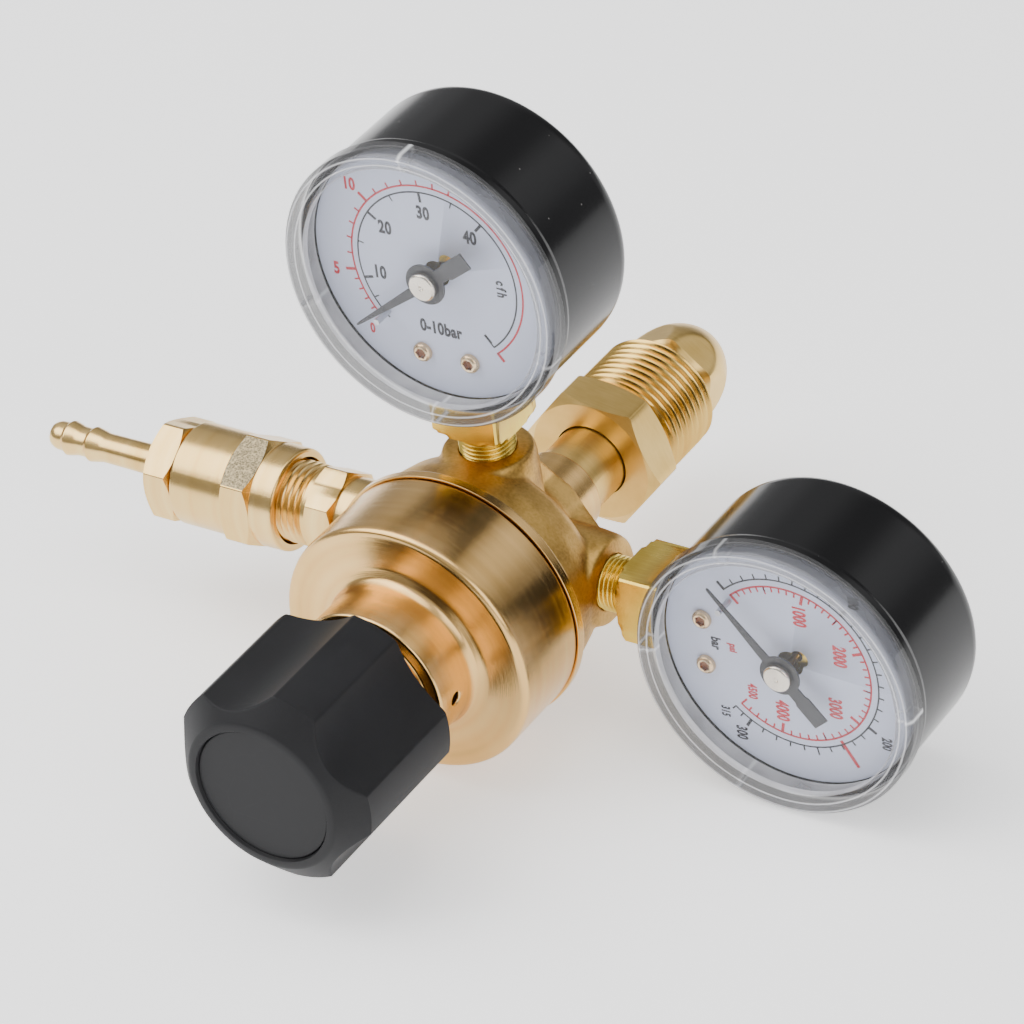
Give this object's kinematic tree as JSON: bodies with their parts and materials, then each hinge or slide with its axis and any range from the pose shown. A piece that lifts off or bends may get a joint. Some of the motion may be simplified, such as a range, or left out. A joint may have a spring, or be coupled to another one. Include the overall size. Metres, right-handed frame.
{
  "type": "gas pressure regulator",
  "caption": "Brass gas cylinder pressure regulator with adjusting knob, swivel inlet nut, hose barb outlet and two round dial gauges.",
  "frame": {"origin": "on the main axis, where the inlet nut's hexagon meets its thread", "axes": "+Y out of the inlet connection, +Z towards the delivery gauge, +X towards the cylinder gauge, so the outlet points to -X and the knob to -Y"},
  "size_m": [0.1945, 0.1544, 0.1209],
  "materials": {
    "cast_brass": "cast and tumbled, slightly rough",
    "turned_brass": "lathe turned, satin",
    "yellow_brass": "machined, bright",
    "steel": "zinc plated",
    "sintered_bronze": "sintered, rough",
    "rubber": "matt",
    "nylon": "natural",
    "black_plastic": "satin moulded",
    "black_paint": "gloss",
    "clear_plastic": "clear",
    "dial_white": "matt print",
    "pointer_black": "matt"
  },
  "bodies": {
    "regulator": {"body": "cast_brass", "bonnet": "turned_brass", "slip_ring": "steel", "diaphragm": "rubber", "adjusting_spring": "steel", "nozzle": "turned_brass", "valve_spring": "steel", "inlet_filter": "sintered_bronze", "inlet_nipple": "turned_brass", "outlet_nipple": "turned_brass", "outlet_washer": "rubber", "outlet_coupling": "turned_brass", "hose_barb": "turned_brass", "delivery_gauge_socket": "yellow_brass", "delivery_gauge_case": "black_paint", "delivery_gauge_lens": "clear_plastic", "delivery_gauge_dial": "dial_white", "delivery_gauge_dial_screw_left": "yellow_brass", "delivery_gauge_dial_screw_right": "yellow_brass", "delivery_gauge_movement_frame": "yellow_brass", "delivery_gauge_bourdon_tube": "yellow_brass", "delivery_gauge_stop_pin": "pointer_black", "cylinder_gauge_socket": "yellow_brass", "cylinder_gauge_case": "black_paint", "cylinder_gauge_lens": "clear_plastic", "cylinder_gauge_dial": "dial_white", "cylinder_gauge_dial_screw_left": "yellow_brass", "cylinder_gauge_dial_screw_right": "yellow_brass", "cylinder_gauge_movement_frame": "yellow_brass", "cylinder_gauge_bourdon_tube": "yellow_brass", "cylinder_gauge_stop_pin": "pointer_black"},
    "spring_button": {"spring_button": "steel"},
    "knob": {"knob": "black_plastic", "knob_cap": "black_plastic", "knob_screw": "steel", "adjusting_screw": "steel"},
    "inlet_nut": {"inlet_nut": "turned_brass"},
    "diaphragm_plate": {"diaphragm_plate": "steel"},
    "poppet": {"poppet": "turned_brass", "poppet_seat": "nylon"},
    "delivery_sector": {"delivery_gauge_sector": "yellow_brass"},
    "delivery_pointer": {"delivery_gauge_pointer": "pointer_black", "delivery_gauge_pointer_cap": "steel", "delivery_gauge_pinion": "yellow_brass"},
    "delivery_link": {"delivery_gauge_link": "yellow_brass"},
    "cylinder_sector": {"cylinder_gauge_sector": "yellow_brass"},
    "cylinder_pointer": {"cylinder_gauge_pointer": "pointer_black", "cylinder_gauge_pointer_cap": "steel", "cylinder_gauge_pinion": "yellow_brass"},
    "cylinder_link": {"cylinder_gauge_link": "yellow_brass"}
  },
  "joints": [
    {"name": "screw_travel", "type": "slide", "parent": "regulator", "child": "spring_button", "axis": [0, 1, 0], "range_m": [0, 0.0076], "deforming": ["adjusting_spring"]},
    {"name": "knob_turn", "type": "hinge", "parent": "spring_button", "child": "knob", "pos_m": [0, -0.1, 0], "axis": [0, 1, 0], "range_deg": [0, 1800]},
    {"name": "inlet_nut_spin", "type": "hinge", "parent": "regulator", "child": "inlet_nut", "pos_m": [0, 0, 0], "axis": [0, 1, 0], "continuous": true},
    {"name": "diaphragm_lift", "type": "slide", "parent": "regulator", "child": "diaphragm_plate", "axis": [0, 1, 0], "range_m": [0, 0.0008], "stiffness_N_per_m": 3000, "deforming": ["diaphragm"]},
    {"name": "poppet_lift", "type": "slide", "parent": "regulator", "child": "poppet", "axis": [0, 1, 0], "range_m": [0, 0.0008], "deforming": ["valve_spring"]},
    {"name": "delivery_sector_swing", "type": "hinge", "parent": "regulator", "child": "delivery_sector", "pos_m": [0, -0.0407, 0.05293], "axis": [0, -1, 0], "range_deg": [0, 26.2], "stiffness_Nm_per_rad": 0.02},
    {"name": "delivery_pointer_turn", "type": "hinge", "parent": "regulator", "child": "delivery_pointer", "pos_m": [0, -0.0407, 0.0655], "axis": [0, 1, 0], "range_deg": [0, 262]},
    {"name": "delivery_link_swing", "type": "hinge", "parent": "delivery_sector", "child": "delivery_link", "pos_m": [-0.00226, -0.0407, 0.05519], "axis": [0, 1, 0], "range_deg": [0, 26.2]},
    {"name": "cylinder_sector_swing", "type": "hinge", "parent": "regulator", "child": "cylinder_sector", "pos_m": [0.05293, -0.0407, 0], "axis": [0, -1, 0], "range_deg": [0, 26.7], "stiffness_Nm_per_rad": 0.02},
    {"name": "cylinder_pointer_turn", "type": "hinge", "parent": "regulator", "child": "cylinder_pointer", "pos_m": [0.0655, -0.0407, 0], "axis": [0, 1, 0], "range_deg": [0, 267]},
    {"name": "cylinder_link_swing", "type": "hinge", "parent": "cylinder_sector", "child": "cylinder_link", "pos_m": [0.05519, -0.0407, 0.00226], "axis": [0, 1, 0], "range_deg": [0, 26.7]}
  ],
  "couplings": [
    {"joint": "screw_travel", "follows": "knob_turn", "m_per_rad": 0.00023873},
    {"joint": "poppet_lift", "follows": "diaphragm_lift", "ratio": 1},
    {"joint": "delivery_pointer_turn", "follows": "delivery_sector_swing", "ratio": 10},
    {"joint": "delivery_link_swing", "follows": "delivery_sector_swing", "ratio": 1},
    {"joint": "cylinder_pointer_turn", "follows": "cylinder_sector_swing", "ratio": 10},
    {"joint": "cylinder_link_swing", "follows": "cylinder_sector_swing", "ratio": 1}
  ]
}
